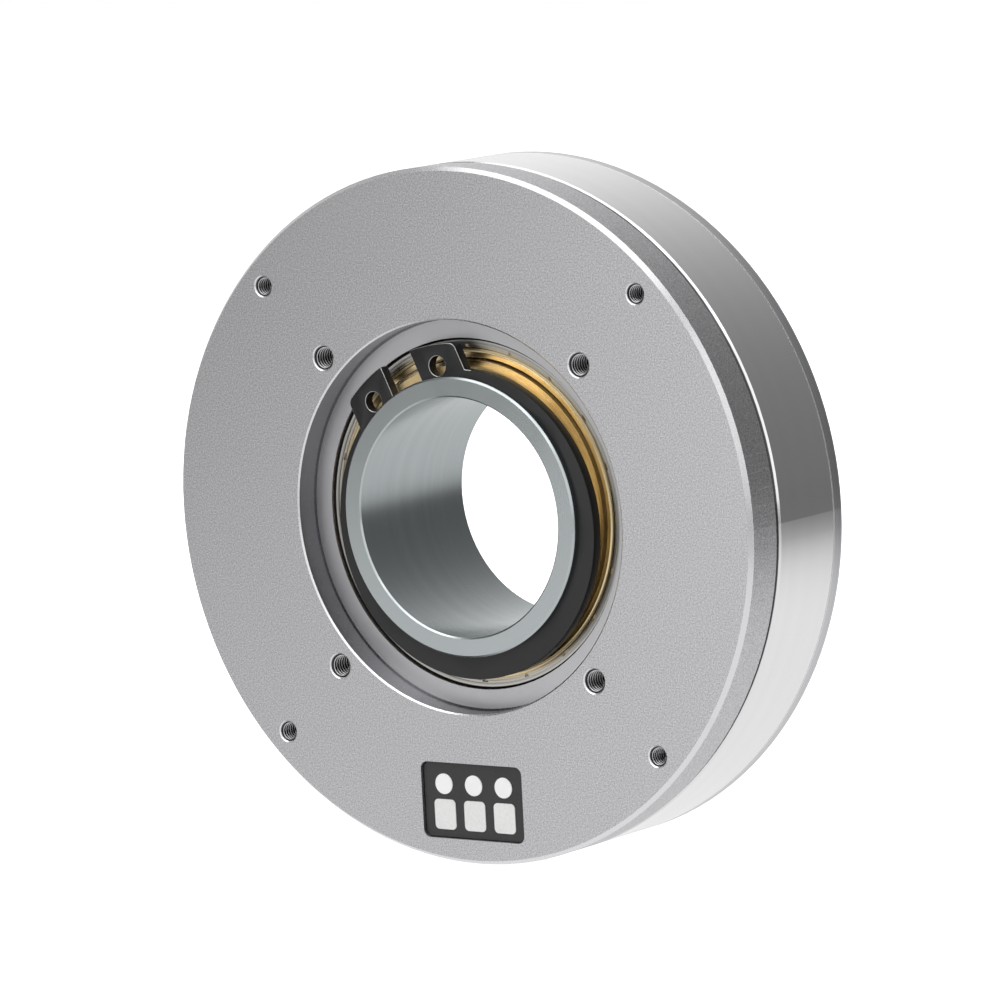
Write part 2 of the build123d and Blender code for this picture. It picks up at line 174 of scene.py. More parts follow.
def radius_and_depth(tree):
    """Distance from the motor's axis and place along it, both in millimetres."""
    point = split(tree, object_point(tree))
    square_x = maths(tree, "MULTIPLY", point["X"], point["X"])
    square_z = maths(tree, "MULTIPLY", point["Z"], point["Z"])
    radius = maths(tree, "SQRT", maths(tree, "ADD", square_x, square_z))
    return maths(tree, "DIVIDE", radius, MM), maths(tree, "DIVIDE", point["Y"], MM)


# %% Blasted grain, the fine speckle of beads, and handling clouds, the soft patches of a touched surface
def make_noise_group(name, size_label, size, pattern, **look):
    """A group with one noise pattern, whose spots have the size in millimetres that a material asks for."""
    group, given, result = new_group(name, [(size_label, size)], [pattern])
    noise = group.nodes.new("ShaderNodeTexNoise")
    for label, value in look.items():
        noise.inputs[label].default_value = value
    group.links.new(object_point(group), noise.inputs["Vector"])
    group.links.new(maths(group, "DIVIDE", 1 / MM, given.outputs[size_label]), noise.inputs["Scale"])
    group.links.new(noise.outputs["Fac"], result.inputs[pattern])
    return group


blasted_grain = make_noise_group("blasted grain", "Grain mm", 0.25, "Grain", Detail=2.0, Roughness=0.6)
handling_clouds = make_noise_group("handling clouds", "Size mm", 12.0, "Clouds", Detail=4.0, Distortion=0.4)
print("groups:", blasted_grain.name, "and", handling_clouds.name)


# %% Turning lines, the rings that a lathe tool leaves
def make_turning_lines():
    """Rings about the axis: fine lines, and bands that are several lines wide."""
    group, given, result = new_group("turning lines", [("Spacing mm", 0.1)], ["Lines", "Bands"])
    radius, depth = radius_and_depth(group)
    travel = maths(group, "ADD", radius, depth)
    for label, share in (("Lines", 1.0), ("Bands", 0.15)):
        rings = group.nodes.new("ShaderNodeTexNoise")
        rings.noise_dimensions = "1D"
        rings.inputs["Scale"].default_value = share
        rings.inputs["Detail"].default_value = 2.0
        group.links.new(maths(group, "DIVIDE", travel, given.outputs["Spacing mm"]), rings.inputs["W"])
        group.links.new(rings.outputs["Fac"], result.inputs[label])
    return group


turning_lines = make_turning_lines()
print("group:", turning_lines.name)


# %% Ring mask, which picks a chamfer by its radius and place along the axis
def make_ring_mask():
    """1 where a point's radius and depth both lie between the given edges, and 0 elsewhere."""
    edges = [("From radius", 0.0), ("To radius", 1.0), ("From depth", 0.0), ("To depth", 1.0)]
    group, given, result = new_group("ring mask", edges, ["Mask"])
    radius, depth = radius_and_depth(group)
    across = maths(
        group,
        "MULTIPLY",
        maths(group, "GREATER_THAN", radius, given.outputs["From radius"]),
        maths(group, "LESS_THAN", radius, given.outputs["To radius"]),
    )
    along = maths(
        group,
        "MULTIPLY",
        maths(group, "GREATER_THAN", depth, given.outputs["From depth"]),
        maths(group, "LESS_THAN", depth, given.outputs["To depth"]),
    )
    group.links.new(maths(group, "MULTIPLY", across, along), result.inputs["Mask"])
    return group


ring_mask = make_ring_mask()
print("group:", ring_mask.name)


# %% Axis place, which gives a point's radius and depth
def make_axis_place():
    """Radius and depth as two outputs, for a finish that changes along them."""
    group, _, result = new_group("axis place", [], ["Radius", "Depth"])
    for label, value in zip(("Radius", "Depth"), radius_and_depth(group)):
        group.links.new(value, result.inputs[label])
    return group


axis_place = make_axis_place()
print("group:", axis_place.name)


# %% Hole distance, measured from the nearest of four holes on the diagonals
def make_hole_distance():
    """The four holes are mirror images, so the signs of X and Z are dropped and one hole is enough."""
    group, given, result = new_group("hole distance", [("Circle mm", 40.0)], ["Distance"])
    point = split(group, object_point(group))
    centre = maths(group, "MULTIPLY", given.outputs["Circle mm"], math.sqrt(0.5))
    squares = []
    for axis in ("X", "Z"):
        place = maths(group, "DIVIDE", maths(group, "ABSOLUTE", point[axis]), MM)
        offset = maths(group, "SUBTRACT", place, centre)
        squares.append(maths(group, "MULTIPLY", offset, offset))
    group.links.new(maths(group, "SQRT", maths(group, "ADD", *squares)), result.inputs["Distance"])
    return group


hole_distance = make_hole_distance()
print("group:", hole_distance.name)

# %% [markdown]
# ## Finishes
#
# A material starts from one Principled shader. The groups then vary its colour and roughness a little, and
# a Bump node turns the same pattern into relief. Variation is what tells the eye that a grey surface is
# blasted aluminium and not paint: the speckle has the size of the beads, and the rings follow the lathe.


# %% Helpers that build a material
def srgb(red, green, blue):
    """A colour as a picture shows it, from 0 to 255, turned into the linear values that a shader needs."""
    channels = []
    for value in (red, green, blue):
        share = value / 255
        channels.append(share / 12.92 if share <= 0.04045 else ((share + 0.055) / 1.055) ** 2.4)
    return (*channels, 1.0)


# A noise seldom leaves this range, so a pattern is stretched from it
noise_range = (0.3, 0.7)


class Finish:
    """A material under construction: its node tree and its Principled shader."""

    def __init__(self, name, metallic, roughness):
        self.material = bpy.data.materials.new(name)
        self.material.use_nodes = True
        self.tree = self.material.node_tree
        self.shader = self.tree.nodes["Principled BSDF"]
        self.shader.inputs["Metallic"].default_value = metallic
        self.shader.inputs["Roughness"].default_value = roughness

    def maths(self, operation, *values):
        """A Math node of this material."""
        return maths(self.tree, operation, *values)

    def group(self, group, **values):
        """A copy of a shared effect, with its inputs set. Returns its outputs."""
        node = self.tree.nodes.new("ShaderNodeGroup")
        node.node_tree = group
        for label, value in values.items():
            node.inputs[label.replace("_", " ")].default_value = value
        return node.outputs

    def ramp(self, value, start, end, first=0.0, last=1.0, curve="SMOOTHSTEP"):
        """Goes from one number to another as a value runs from start to end."""
        node = self.tree.nodes.new("ShaderNodeMapRange")
        node.interpolation_type = curve
        self.tree.links.new(value, node.inputs["Value"])
        node.inputs["From Min"].default_value = start
        node.inputs["From Max"].default_value = end
        node.inputs["To Min"].default_value = first
        node.inputs["To Max"].default_value = last
        return node.outputs["Result"]

    def spread(self, pattern, first, last):
        """Stretches a pattern's middle range to run from one value to another."""
        return self.ramp(pattern, *noise_range, first, last, curve="LINEAR")

    def between(self, factor, first, second):
        """A colour that goes from the first to the second as the factor goes from 0 to 1."""
        node = self.tree.nodes.new("ShaderNodeMix")
        node.data_type = "RGBA"
        self.tree.links.new(factor, node.inputs["Factor"])
        first_place, second_place, result_place = 6, 7, 2
        for place, value in ((first_place, first), (second_place, second)):
            if isinstance(value, bpy.types.NodeSocket):
                self.tree.links.new(value, node.inputs[place])
            else:
                node.inputs[place].default_value = value
        return node.outputs[result_place]

    def set(self, label, value):
        """Feeds one of the shader's inputs."""
        self.tree.links.new(value, self.shader.inputs[label])

    def relief(self, height, depth, strength=0.5):
        """Turns a pattern into relief of a real depth, in millimetres."""
        node = self.tree.nodes.new("ShaderNodeBump")
        node.inputs["Strength"].default_value = strength
        node.inputs["Distance"].default_value = depth * MM
        self.tree.links.new(height, node.inputs["Height"])
        self.set("Normal", node.outputs["Normal"])


finishes = {}

# %% [markdown]
# ### Masks by place
#
# A turned part changes its finish at a known radius, and a tapped hole at a known distance from its own
# middle. So the masks are worked out from the part's sizes, and no picture has to be painted for them. A
# mask reaches a little beyond its own surface, where there is no other one, and stops just short of a
# neighbour.

# %% How far a mask keeps off or reaches over, in millimetres
skin = 0.003
hair = 0.01
overlap = 0.03
slack = 0.1
print("masks stop", hair, "mm short of a neighbour")


# %% Masks of rings and holes
def ring(finish, radii, depths):
    """A mask of what lies within a span of radii and a span of places along the axis."""
    edges = {"From_radius": radii[0], "To_radius": radii[1], "From_depth": depths[0], "To_depth": depths[1]}
    return finish.group(ring_mask, **edges)["Mask"]


def hole_mouths(finish, holes):
    """A mask of the chamfers of four holes."""
    distance = finish.group(hole_distance, Circle_mm=holes["circle"])["Distance"]
    outside = finish.maths("GREATER_THAN", distance, holes["radius"] + hair / 2)
    inside = finish.maths("LESS_THAN", distance, holes["radius"] + hole_chamfer - hair / 2)
    return finish.maths("MULTIPLY", outside, inside)


def tapped(finish, colour, holes):
    """Paints shade on the walls of four tapped holes, and a painted highlight on the crests of their
    threads.
    """
    radius, pitch = holes["radius"], holes["pitch"]
    flank_end, crest_start = 0.34 * pitch, 0.46 * pitch
    distance = finish.group(hole_distance, Circle_mm=holes["circle"])["Distance"]
    wall = finish.ramp(distance, radius + hair / 2, radius - 2 * hair)
    crest = finish.ramp(distance, radius - flank_end, radius - crest_start)
    # painted shade inside the holes, with painted highlights on the thread crests
    inside = finish.between(crest, srgb(52, 52, 54), srgb(226, 226, 228))
    return finish.between(wall, colour, inside)


# %% [markdown]
# ### Blasted aluminium
#
# The base disc is bead-blasted and clear anodised, then its outer edge, the mouth of its recess and the
# mouths of its holes are turned bright. The wall of the recess is smooth, and is painted darker as painted
# shade in the recess. Its floor is blasted more lightly. One material can hold all of these, because the
# masks know where each surface is.


# %% Masks of the disc
def disc_masks(finish):
    """Masks of the disc's bright edges, of the recess's wall and floor, and of the disc's side. The wall
    mask carries a painted shade.
    """
    rim_end = rim_chamfer_length - hair
    rim_radii = (motor_radius - rim_chamfer_width - overlap, motor_radius - hair)
    mouth_radii = (recess_radius - overlap, recess_radius + recess_chamfer + overlap)
    bright = finish.maths(
        "MAXIMUM",
        ring(finish, rim_radii, (skin, rim_end)),
        ring(finish, mouth_radii, (skin, recess_chamfer - skin)),
    )
    for holes in (outer_holes, inner_holes):
        bright = finish.maths("MAXIMUM", bright, hole_mouths(finish, holes))
    # painted shade: the wall's dark colour runs this far onto the floor, a painted shade line in the corner
    corner_shade = 0.2
    wall_radii = (recess_radius - corner_shade, recess_radius + overlap)
    wall = ring(finish, wall_radii, (recess_chamfer, recess_depth + slack))
    floor_depths = (recess_depth - slack, recess_depth + slack)
    recess_floor = ring(finish, (bearing_radius - slack, recess_radius), floor_depths)
    side = ring(finish, (motor_radius - hair, motor_radius + slack), (rim_end, ring_front))
    return bright, wall, recess_floor, side


# %% Blasted aluminium with bright-turned chamfers
def make_blasted_aluminium():
    """The disc's finish. Its relief is left out where the surface is smooth, and is faint in the recess."""
    finish = Finish("blasted_aluminium", metallic=1.0, roughness=0.42)
    grain = finish.group(blasted_grain, Grain_mm=0.18)["Grain"]
    clouds = finish.group(handling_clouds, Size_mm=26.0)["Clouds"]
    bright, wall, recess_floor, side = disc_masks(finish)

    speckled = finish.between(finish.spread(grain, 0, 1), srgb(160, 160, 163), srgb(230, 230, 232))
    blasted = finish.between(finish.spread(clouds, 0, 0.12), speckled, srgb(208, 208, 210))
    calm = finish.between(finish.spread(clouds, 0, 1), srgb(196, 196, 198), srgb(212, 212, 214))
    colour = finish.between(recess_floor, blasted, calm)
    colour = finish.between(bright, colour, srgb(228, 228, 230))
    # painted shade: the recess wall is painted darker
    colour = finish.between(wall, colour, srgb(138, 138, 141))
    # painted shade and thread-crest highlights in the tapped holes
    for holes in (outer_holes, inner_holes):
        colour = tapped(finish, colour, holes)
    finish.set("Base Color", colour)

    rough = finish.maths("MULTIPLY_ADD", bright, -0.14, finish.spread(grain, 0.38, 0.48))
    finish.set("Roughness", finish.maths("MULTIPLY_ADD", wall, -0.2, rough))

    smooth = finish.maths("MAXIMUM", finish.maths("MAXIMUM", bright, wall), side)
    blast = finish.maths("SUBTRACT", 1.0, smooth)
    blast = finish.maths("MULTIPLY_ADD", finish.maths("MULTIPLY", blast, recess_floor), -0.8, blast)
    finish.relief(finish.maths("MULTIPLY", grain, blast), depth=0.02, strength=0.8)
    return finish.material


finishes["anodised_aluminium"] = make_blasted_aluminium()
print("finish:", finishes["anodised_aluminium"].name)

# %% [markdown]
# ### Turned aluminium
#
# The rear cover is not blasted. Its face keeps the fine rings of the lathe under the anodising, so the
# turning lines drive both relief and roughness, and the light breaks into the fan that turned faces show.
# Where the cover meets the ring, a narrow band of its edge is painted near white, a painted highlight that
# draws the joint between the two.


# %% Turned aluminium for the rear cover
def make_turned_aluminium():
    """The cover's finish, with a painted highlight along the narrow edge beside the ring."""
    finish = Finish("turned_aluminium", metallic=1.0, roughness=0.3)
    rings = finish.group(turning_lines, Spacing_mm=0.12)
    clouds = finish.group(handling_clouds, Size_mm=20.0)["Clouds"]
    lip_radii = (motor_radius - 3 * slack, motor_radius + slack)
    lip_highlight = ring(finish, lip_radii, (ring_rear - 0.02, ring_rear + 0.09))
    tone = finish.between(finish.spread(rings["Bands"], 0, 1), srgb(190, 191, 194), srgb(206, 206, 208))
    # painted highlight: a near-white band along the edge beside the ring
    tone = finish.between(lip_highlight, tone, srgb(250, 250, 250))
    # painted shade and thread-crest highlights in the output holes
    finish.set("Base Color", tapped(finish, tone, output_holes))
    lathe = finish.spread(rings["Lines"], 0.22, 0.34)
    rough = finish.maths("ADD", lathe, finish.spread(clouds, -0.03, 0.05))
    finish.set("Roughness", finish.maths("MULTIPLY_ADD", lip_highlight, 0.15, rough))
    finish.relief(rings["Lines"], depth=0.012, strength=0.6)
    return finish.material


finishes["turned_aluminium"] = make_turned_aluminium()
print("finish:", finishes["turned_aluminium"].name)

# %% [markdown]
# ### Steels
#
# Four steels differ in how far they were finished. The rotor ring is ground and polished, and its front
# end, which lies in the gap behind the disc, is painted dark as painted shade. The shaft is satin and a
# little blue, and its end face is painted paler as painted light. The bearing's rings and its shield show
# fine lines whose strong dark-to-white contrast is partly painted highlight, a warm painted reflection of
# the brass beside them, and a painted shade on the ring's outer rim at the gap. One function makes all four
# from two colours, a roughness range and the size of the rings.


# %% Steel in four degrees of polish
def make_steel(name, tones, polish, spacing, depth, pattern="Bands", painted_brass_reflection=None, edge=None, end=None):
    """A steel whose colour, roughness and relief follow rings round the axis, in broad bands or fine lines.

    The painted brass reflection is a span of radii over which a warm tint, a painted reflection of the brass
    beside the steel, fades out. Edge is a span of radii over which an outer rim is painted dark, a painted
    shade at the gap beside it. End is the painted tone of the front end face, dark as painted shade on the
    ring and pale as painted light on the shaft, and its span along the axis."""
    finish = Finish(name, metallic=1.0, roughness=sum(polish) / 2)
    rings = finish.group(turning_lines, Spacing_mm=spacing)
    clouds = finish.group(handling_clouds, Size_mm=9.0)["Clouds"]
    tone = finish.between(finish.spread(rings[pattern], 0, 1), *tones)
    place = finish.group(axis_place)
    if painted_brass_reflection:
        # painted reflection: a warm tint of the brass beside the steel
        tone = finish.between(finish.ramp(place["Radius"], *painted_brass_reflection), srgb(246, 224, 176), tone)
    if edge:
        # painted shade: the outer rim goes dark at the gap beside it
        tone = finish.between(finish.ramp(place["Radius"], *edge), tone, srgb(58, 56, 52))
    if end:
        painted_end_tone, start, stop = end
        # the front end face takes its own painted tone: painted shade on the ring, painted light on the
        # shaft
        tone = finish.between(finish.ramp(place["Depth"], start, stop), painted_end_tone, tone)
    finish.set("Base Color", tone)
    grooves = finish.spread(rings["Lines"], *polish)
    finish.set("Roughness", finish.maths("ADD", grooves, finish.spread(clouds, -0.02, 0.03)))
    finish.relief(rings["Lines"], depth)
    return finish.material


# %% The ring's and the shaft's steel
finishes["polished_steel"] = make_steel(
    "polished_steel",
    tones=(srgb(230, 230, 231), srgb(232, 232, 232)),
    polish=(0.145, 0.155),
    spacing=0.3,
    depth=0.0004,
    # painted shade: the ring's front end in the gap behind the disc is painted dark
    end=(srgb(70, 70, 72), ring_front + 0.14, ring_front + 0.22),
)
finishes["shaft_steel"] = make_steel(
    "shaft_steel",
    tones=(srgb(168, 174, 175), srgb(172, 178, 179)),
    polish=(0.23, 0.25),
    spacing=0.25,
    depth=0.0007,
    # painted light: the shaft's end face is painted paler
    end=(srgb(186, 192, 193), shaft_front + 0.16, shaft_front + 0.2),
)
print("steels:", finishes["polished_steel"].name, finishes["shaft_steel"].name)

# %% The bearing's steels
bearing_lines = {"polish": (0.26, 0.4), "spacing": 0.34, "depth": 0.03, "pattern": "Lines"}
finishes["bearing_steel"] = make_steel(
    "bearing_steel",
    # the turning lines are real, and their dark-to-white contrast is partly painted highlight
    tones=(srgb(104, 98, 88), srgb(252, 251, 248)),
    # painted reflection of the brass beside the bearing
    painted_brass_reflection=(inner_ring_radius, inner_ring_radius + 0.2),
    # painted shade at the gap round the outer ring
    edge=(bearing_radius - 0.38, bearing_radius - 0.2),
    **bearing_lines,
)
finishes["shield_steel"] = make_steel(
    "shield_steel",
    # the turning lines are real, and their dark-to-white contrast is partly painted highlight
    tones=(srgb(112, 102, 84), srgb(254, 252, 246)),
    # painted reflection of the brass beside the shield
    painted_brass_reflection=(inner_ring_radius + 1, inner_ring_radius + 2),
    **bearing_lines,
)
print("steels:", finishes["bearing_steel"].name, finishes["shield_steel"].name)

# %% [markdown]
# ### Brass, copper and nickel
#
# The spacer is bright-turned brass with a few darker stains, the windings are enamelled copper, and the
# magnets are nickel plated. The stains come from the handling clouds, which here change the colour too.


# %% Brass, copper and nickel
def make_stained_metal(name, clean, stained, smooth, rough, cloud_size):
    """A metal whose colour drifts to a stained one in soft clouds."""
    finish = Finish(name, metallic=1.0, roughness=(smooth + rough) / 2)
    clouds = finish.group(handling_clouds, Size_mm=cloud_size)["Clouds"]
    rings = finish.group(turning_lines, Spacing_mm=0.1)["Lines"]
    finish.set("Base Color", finish.between(finish.spread(clouds, 0, 1), clean, stained))
    finish.set("Roughness", finish.spread(clouds, smooth, rough))
    finish.relief(rings, depth=0.006)
    return finish.material


for name, clean, stained, smooth, rough, cloud_size in (
    ("brass", srgb(246, 224, 178), srgb(226, 196, 142), 0.26, 0.4, 3.0),
    ("copper", srgb(208, 118, 72), srgb(168, 84, 48), 0.22, 0.36, 2.0),
    ("magnet_nickel", srgb(206, 205, 200), srgb(186, 184, 178), 0.12, 0.22, 6.0),
):
    finishes[name] = make_stained_metal(name, clean, stained, smooth, rough, cloud_size)
    print("stained metal:", name)

# %% [markdown]
# ### Coated and plain parts
#
# The retaining ring is spring steel with a black phosphate coat. Its slanted edges on the upper side are
# painted the colour of bare metal, a painted highlight where they catch the light. The screws are blackened,
# the core is coated lamination steel, and the board carries a black solder mask with tinned pads and white
# ink. The cages are nylon. They differ in tone, gloss and grain, so one function takes two colours, a
# roughness range and the size of the grain.


# %% Painted edge highlights
def painted_edge_highlight(finish, highlight_side):
    """A mask for the painted edge highlight: the slanted edges above the axis and left of the given side, in
    millimetres.
    """
    normal = finish.tree.nodes.new("ShaderNodeTexCoord").outputs["Normal"]
    forward = finish.maths("ABSOLUTE", split(finish.tree, normal)["Y"])
    least_forward, most_forward = 0.3, 0.95
    off_side = finish.maths("GREATER_THAN", forward, least_forward)
    slanted = finish.maths("MULTIPLY", off_side, finish.maths("LESS_THAN", forward, most_forward))
    point = split(finish.tree, object_point(finish.tree))
    left = finish.maths("LESS_THAN", point["X"], highlight_side * MM)
    above = finish.maths("GREATER_THAN", point["Z"], 0)
    return finish.maths("MULTIPLY", finish.maths("MULTIPLY", slanted, left), above)


# %% Coated and plain finishes
def make_coated(name, dark, pale, smooth, rough, grain_mm, metallic=0.0, highlight_side=None):
    """A coat with a fine grain in colour, gloss and relief. Where an edge highlight is asked for, the edges
    are painted the colour of bare metal, as a painted highlight.
    """
    finish = Finish(name, metallic=metallic, roughness=(smooth + rough) / 2)
    grain = finish.group(blasted_grain, Grain_mm=grain_mm)["Grain"]
    clouds = finish.group(handling_clouds, Size_mm=5.0)["Clouds"]
    mixed = finish.maths("MULTIPLY_ADD", grain, 0.6, finish.maths("MULTIPLY", clouds, 0.4))
    tone = finish.between(finish.spread(mixed, 0, 1), dark, pale)
    gloss = finish.spread(grain, smooth, rough)
    if highlight_side is not None:
        edge_highlight = painted_edge_highlight(finish, highlight_side)
        # painted highlight: bare-metal colour on the upper slanted edges
        tone = finish.between(edge_highlight, tone, srgb(214, 214, 214))
        finish.set("Metallic", edge_highlight)
        gloss = finish.maths("MULTIPLY_ADD", edge_highlight, -0.12, gloss)
    finish.set("Base Color", tone)
    finish.set("Roughness", gloss)
    finish.relief(grain, depth=0.008)
    return finish.material


# the upper slanted edges of the retaining ring take a painted highlight
finishes["black_spring_steel"] = make_coated(
    "black_spring_steel", srgb(14, 14, 16), srgb(26, 26, 28), 0.38, 0.5, 0.16, highlight_side=2.5
)
finishes["lamination_steel"] = make_coated(
    "lamination_steel", srgb(92, 94, 100), srgb(118, 120, 126), 0.4, 0.55, 0.2, metallic=0.8
)
finishes["tinned_pad"] = make_coated(
    "tinned_pad", srgb(232, 232, 230), srgb(246, 246, 245), 0.35, 0.5, 0.4, metallic=0.25
)
for name, dark, pale, smooth, rough, grain_mm in (
    ("screw_steel", srgb(40, 40, 43), srgb(58, 58, 62), 0.28, 0.4, 0.12),
    ("black_board", srgb(42, 42, 42), srgb(54, 54, 54), 0.4, 0.5, 0.3),
    ("cage_nylon", srgb(214, 206, 186), srgb(228, 220, 202), 0.45, 0.6, 0.4),
    ("white_ink", srgb(252, 252, 251), srgb(255, 255, 255), 0.5, 0.65, 0.2),
):
    finishes[name] = make_coated(name, dark, pale, smooth, rough, grain_mm)
print("finishes:", len(finishes))

# %% Give each CAD node the finish that the record names
for part in record["subparts"]:
    node = cad_nodes[part["node"]]
    node.data.materials.clear()
    node.data.materials.append(finishes[part["material_slot"]])
print("dressed CAD nodes:", len(record["subparts"]))

# %% [markdown]
# ## Threads
#
# A drilled hole in the CAD model is as wide as the outside of its thread. On the real part, the thread
# stands in from that wall as a fine spiral ridge, and it is what makes a small hole look tapped. The ridge
# is one small outline that is spun round the hole and moved along it at the same time, which is how a tap
# cuts it.


# %% A helper that spins a thread ridge
def thread_ridge(name, holes, turns):
    """A mesh with one spiral ridge whose axis is Y and whose mouth is at y = 0, in millimetres."""
    pitch = holes["pitch"]
    steps_per_turn = 28
    foot = holes["radius"] + 0.01
    crest = holes["radius"] - 0.54 * pitch
    corners = ((foot, 0.0), (foot, 0.7 * pitch), (crest, 0.44 * pitch), (crest, 0.26 * pitch))
    shape = bmesh.new()
    profile = shape.faces.new([shape.verts.new((across, along, 0)) for across, along in corners])
    bmesh.ops.spin(
        shape,
        geom=[profile, *profile.edges, *profile.verts],
        cent=(0, 0, 0),
        axis=(0, 1, 0),
        dvec=(0, pitch / steps_per_turn, 0),
        angle=math.tau * turns,
        steps=int(steps_per_turn * turns),
        use_merge=False,
        use_duplicate=False,
    )
    bmesh.ops.recalc_face_normals(shape, faces=shape.faces)
    mesh = bpy.data.meshes.new(name)
    shape.to_mesh(mesh)
    shape.free()
    return mesh


# %% Helpers that place a mesh and put it on a body
def add_piece(name, mesh, body, slot):
    """Puts a finished mesh, whose place is in its vertices, on a body of the motor."""
    piece = bpy.data.objects.new(name, mesh)
    bpy.context.scene.collection.objects.link(piece)
    mesh.materials.clear()
    mesh.materials.append(finishes[slot])
    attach(piece, body)
    return piece


def place_on_diagonals(mesh, circle, depth, facing):
    """Copies a mesh to four holes. Facing is 1 where the mouth looks to the front, -1 to the rear."""
    ring_of_four = bmesh.new()
    for number in range(4):
        angle = math.radians(45) + math.tau * number / 4
        flip = Matrix.Rotation(0 if facing > 0 else math.pi, 4, "X")
        move = Matrix.Translation((circle * math.cos(angle), depth, circle * math.sin(angle)))
        copy = mesh.copy()
        copy.transform(Matrix.Scale(MM, 4) @ move @ flip)
        ring_of_four.from_mesh(copy)
        bpy.data.meshes.remove(copy)
    ring_of_four.to_mesh(mesh)
    ring_of_four.free()
    return mesh


# %% Thread the holes of the base and of the rear cover
thread_start = 0.1
for name, body, slot, holes, turns, depth, facing in (
    ("threads_outer", "stator", "anodised_aluminium", outer_holes, 9, thread_start, 1),
    ("threads_inner", "stator", "anodised_aluminium", inner_holes, 9, thread_start, 1),
    ("threads_output", "rotor", "turned_aluminium", output_holes, 3, rear_face - thread_start, -1),
):
    ridges = place_on_diagonals(thread_ridge(name, holes, turns), holes["circle"], depth, facing)
    add_piece(name, ridges, body, slot)
    print(name, len(ridges.polygons), "faces")

# %% [markdown]
# ## Rounded edges on the retaining ring
#
# A retaining ring is punched from strip and tumbled, so its edges are rounded by about a tenth of a
# millimetre. That small radius is what draws the bright line down the side of each lug. The CAD solid has
# sharp edges, so a copy of it is welded, its flat faces are cleaned, and its sharp edges are bevelled.


# %% A helper that rounds the sharp edges of a CAD node
def rounded_copy(name, node, radius, segments):
    """A new piece like a CAD node, with each sharp edge rounded, which takes the node's place."""
    weld_distance = 0.001
    flat_angle, sharp_angle, crease_angle = math.radians(0.5), math.radians(30), math.radians(40)
    shape = bmesh.new()
    shape.from_mesh(cad_nodes[node].data)
    bmesh.ops.remove_doubles(shape, verts=shape.verts, dist=weld_distance * MM)
    bmesh.ops.dissolve_limit(
        shape, angle_limit=flat_angle, verts=shape.verts, edges=shape.edges, delimit=set()
    )
    sharp = [edge for edge in shape.edges if edge.is_manifold and edge.calc_face_angle() > sharp_angle]
    rounded = bmesh.ops.bevel(
        shape,
        geom=sharp,
        offset=radius * MM,
        offset_type="OFFSET",
        affect="EDGES",
        segments=segments,
        profile=0.5,
        material=-1,
        clamp_overlap=True,
    )
    for face in shape.faces:
        face.smooth = False
    for face in rounded["faces"]:
        face.smooth = True
    mesh = bpy.data.meshes.new(name)
    shape.to_mesh(mesh)
    shape.free()
    mesh.set_sharp_from_angle(angle=crease_angle)
    slot = next(part["material_slot"] for part in record["subparts"] if part["node"] == node)
    piece = add_piece(name, mesh, cad_nodes[node]["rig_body"], slot)
    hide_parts(node)
    return piece


# %% Round the retaining ring
ring_piece = rounded_copy("retaining_ring_rounded", "circlip", radius=0.12, segments=3)
print("retaining ring:", len(ring_piece.data.polygons), "faces")

# %% [markdown]
# ## The floor
#
# The motor stands on its rim on a large white sheet. A camera that looks along a sheet would see it turn
# grey with distance, so for the camera it glows a little more the farther away it is, and runs into the
# white background. Polished metal mirrors a floor as well. For those rays the sheet is bright under the
# motor and fades with distance, as in a room, and this gives the metal its dark bands.

# %% The white sheet under the motor
sheet_reach = 1500.0
floor_shape = bmesh.new()
bmesh.ops.create_grid(floor_shape, x_segments=1, y_segments=1, size=sheet_reach * MM)
bmesh.ops.translate(floor_shape, verts=floor_shape.verts, vec=(0, 0, floor_level * MM))
floor_mesh = bpy.data.meshes.new("floor")
floor_shape.to_mesh(floor_mesh)
floor_shape.free()
floor = bpy.data.objects.new("floor", floor_mesh)
bpy.context.scene.collection.objects.link(floor)
print("floor at", floor_level)


# %% The sheet's finish
def make_floor_finish():
    """A matt white sheet that runs into the background for the camera and fades with distance for metal."""
    finish = Finish("white_sheet", metallic=0.0, roughness=1.0)
    tree = finish.tree
    tree.nodes.remove(finish.shader)
    matt = tree.nodes.new("ShaderNodeBsdfDiffuse")
    matt.inputs["Color"].default_value = (0.85, 0.85, 0.85, 1)
    rays = tree.nodes.new("ShaderNodeLightPath").outputs
    reach = tree.nodes.new("ShaderNodeVectorMath")
    reach.operation = "DISTANCE"
    tree.links.new(object_point(tree), reach.inputs[0])
    brightest_place = Vector((-40, -70, floor_level))
    reach.inputs[1].default_value = brightest_place * MM
    distance = reach.outputs["Value"]

    whiter = finish.ramp(distance, start=100 * MM, end=300 * MM, first=0.8, last=1.0)
    glow = tree.nodes.new("ShaderNodeEmission")
    tree.links.new(finish.maths("MULTIPLY", rays["Is Camera Ray"], whiter), glow.inputs["Strength"])
    seen = tree.nodes.new("ShaderNodeAddShader")
    tree.links.new(matt.outputs[0], seen.inputs[0])
    tree.links.new(glow.outputs[0], seen.inputs[1])

    fade = finish.ramp(distance, start=170 * MM, end=430 * MM, first=0.93, last=0.18)
    mirrored = tree.nodes.new("ShaderNodeEmission")
    tree.links.new(fade, mirrored.inputs["Strength"])
    choice = tree.nodes.new("ShaderNodeMixShader")
    tree.links.new(rays["Is Glossy Ray"], choice.inputs[0])
    tree.links.new(seen.outputs[0], choice.inputs[1])
    tree.links.new(mirrored.outputs[0], choice.inputs[2])
    tree.links.new(choice.outputs[0], tree.nodes["Material Output"].inputs["Surface"])
    return finish.material


floor_mesh.materials.append(make_floor_finish())
print("floor finish:", floor_mesh.materials[0].name)

# %% [markdown]
# ## The camera
#
# The camera stands to the right of the motor and a little above it, about 0.8 m away with a long lens, so
# that circles stay close to true ellipses. Its place was worked out from the ellipses of the motor's round
# edges.

